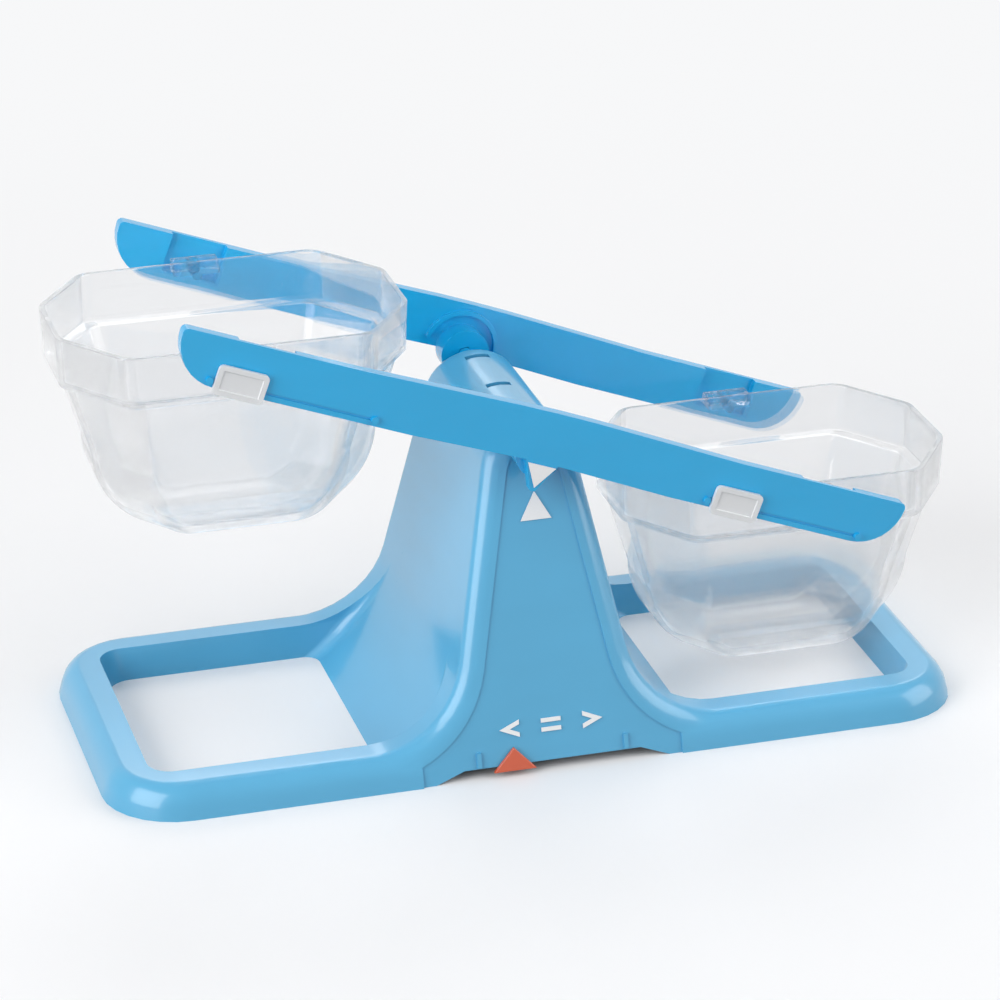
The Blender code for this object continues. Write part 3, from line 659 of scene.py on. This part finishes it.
class BALANCE_OT_sliders(bpy.types.Operator):
    """Finish the two cloudy sliders that trim the balance"""

    bl_idname = "balance.sliders"
    bl_label = "Sliders"

    def execute(self, context):
        colours = context.scene.balance_colours
        sizes = context.scene.balance_sizes
        plastic = clear_moulding("cloudy_moulding", tuple(colours.slider_clear), *SLIDER_FINISH)
        for word, along in (("left", LEFT_SLIDER_PLACE), ("right", RIGHT_SLIDER_PLACE)):
            low = (along - SLIDER_HALF, SLIDER_FACE - SLIDER_POCKET, SLIDER_LOW)
            high = (along + SLIDER_HALF, SLIDER_FACE + SLIDER_POCKET, SLIDER_HIGH)
            pocket = soft_box(word + "_pocket", low, high, POCKET_ROUND)
            pocket.transform(arm_frame())
            name = word + "_slider_block"
            piece = refined(name, "compensator_" + word, sizes.small_round, plastic, cut=pocket)
            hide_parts("compensator_" + word)
            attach(piece, word + "_slider")
        return {"FINISHED"}


class BALANCE_OT_buckets(bpy.types.Operator):
    """Build the two clear buckets"""

    bl_idname = "balance.buckets"
    bl_label = "Buckets"

    def execute(self, context):
        colours = context.scene.balance_colours
        plastic = clear_moulding("clear_moulding", tuple(colours.bucket_clear), *BUCKET_FINISH)
        make_bucket("left_clear_bucket", "left_bucket", "left_hanger", -1, plastic)
        make_bucket("right_clear_bucket", "right_bucket", "right_hanger", 1, plastic)
        return {"FINISHED"}


class BALANCE_OT_pointer(bpy.types.Operator):
    """Finish the pointer that slides along the front edge"""

    bl_idname = "balance.pointer"
    bl_label = "Pointer"

    def execute(self, context):
        colours = context.scene.balance_colours
        sizes = context.scene.balance_sizes
        plastic = blue_moulding("orange_red_moulding", tuple(colours.pointer_red), POINTER_GLOSS)
        piece = refined("sliding_pointer", "comparison_pointer", sizes.small_round, plastic)
        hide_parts("comparison_pointer")
        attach(piece, "pointer")
        return {"FINISHED"}


class BALANCE_OT_signs(bpy.types.Operator):
    """Give the printed signs and triangles their white ink"""

    bl_idname = "balance.signs"
    bl_label = "Printed signs"

    def execute(self, context):
        ink = printed_ink("white_ink", tuple(context.scene.balance_colours.print_white))
        marks = ("mark_less", "mark_equal_upper", "mark_equal_lower", "mark_greater")
        for node in (*marks, "tower_triangle", "arm_triangle"):
            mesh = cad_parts[node].data
            mesh.materials.clear()
            mesh.materials.append(ink)
        return {"FINISHED"}


class BALANCE_OT_stage(bpy.types.Operator):
    """Set up the pale table, the soft lights and the camera"""

    bl_idname = "balance.stage"
    bl_label = "Table, lights and camera"

    def execute(self, context):
        sizes = context.scene.balance_sizes
        colours = context.scene.balance_colours
        bm = bmesh.new()
        bmesh.ops.create_grid(bm, x_segments=2, y_segments=2, size=sizes.floor_size / 2)
        mesh = bpy.data.meshes.new("table_top")
        bm.to_mesh(mesh)
        bm.free()
        table = add_piece("table_top", mesh, [table_top("pale_table", tuple(colours.table))])
        set_world(context.scene)
        for lamp in LAMPS:
            add_light(*lamp)
        add_camera(context.scene)
        return {"FINISHED"}


def set_world(scene):
    """Light everything softly from all round; the camera sees a plain pale backdrop."""
    world = bpy.data.worlds.new("soft_room")
    scene.world = world
    graph = Graph(world)
    strength = graph.seen() * (BACKDROP_LEVEL - ROOM_LEVEL) + ROOM_LEVEL
    background = graph.add("ShaderNodeBackground", {}, {"Color": BACKDROP_TINT, "Strength": strength})
    graph.finish("ShaderNodeOutputWorld", background)


def add_light(name, place, size, power):
    """Add a square soft light that faces the balance."""
    light = bpy.data.lights.new(name, "AREA")
    light.shape = "SQUARE"
    light.size = size
    light.energy = power
    lamp = bpy.data.objects.new(name, light)
    lamp.location = place
    aim = Vector(CAMERA_TARGET) - Vector(place)
    lamp.rotation_euler = aim.to_track_quat("-Z", "Y").to_euler()
    bpy.context.scene.collection.objects.link(lamp)


def add_camera(scene):
    """Add the camera where the photograph was taken from."""
    camera = bpy.data.cameras.new("photo_camera")
    camera.lens = CAMERA_LENS
    camera.sensor_width = SENSOR_WIDTH
    holder = bpy.data.objects.new("photo_camera", camera)
    holder.location = CAMERA_PLACE
    aim = Vector(CAMERA_TARGET) - Vector(CAMERA_PLACE)
    turn = aim.to_track_quat("-Z", "Y").to_matrix() @ Matrix.Rotation(CAMERA_ROLL, 3, "Z")
    holder.rotation_euler = turn.to_euler()
    scene.collection.objects.link(holder)
    scene.camera = holder
    scene.view_settings.view_transform = "Standard"


class BALANCE_PT_panel(bpy.types.Panel):
    """List the balance's steps, sizes and colours"""

    bl_idname = "BALANCE_PT_panel"
    bl_label = "Bucket balance"
    bl_space_type = "VIEW_3D"
    bl_region_type = "UI"
    bl_category = "Balance"

    def draw(self, context):
        for step in STEPS:
            self.layout.operator(step.bl_idname)
        for group in (context.scene.balance_sizes, context.scene.balance_colours):
            box = self.layout.box()
            for name in group.__annotations__:
                box.prop(group, name)


STEPS = (
    BALANCE_OT_base,
    BALANCE_OT_arms,
    BALANCE_OT_sliders,
    BALANCE_OT_buckets,
    BALANCE_OT_pointer,
    BALANCE_OT_signs,
    BALANCE_OT_stage,
)
CLASSES = (BalanceSizes, BalanceColours, *STEPS, BALANCE_PT_panel)


def register():
    """Register the classes and hang the settings on the scene."""
    for item in CLASSES:
        bpy.utils.register_class(item)
    bpy.types.Scene.balance_sizes = bpy.props.PointerProperty(type=BalanceSizes)
    bpy.types.Scene.balance_colours = bpy.props.PointerProperty(type=BalanceColours)


def unregister():
    """Remove the settings and the classes."""
    del bpy.types.Scene.balance_colours
    del bpy.types.Scene.balance_sizes
    for item in reversed(CLASSES):
        bpy.utils.unregister_class(item)


def main():
    """Finish every piece in order."""
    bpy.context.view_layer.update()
    register()
    bpy.ops.balance.base()
    bpy.ops.balance.arms()
    bpy.ops.balance.sliders()
    bpy.ops.balance.buckets()
    bpy.ops.balance.pointer()
    bpy.ops.balance.signs()
    bpy.ops.balance.stage()


if __name__ == "__main__":
    main()
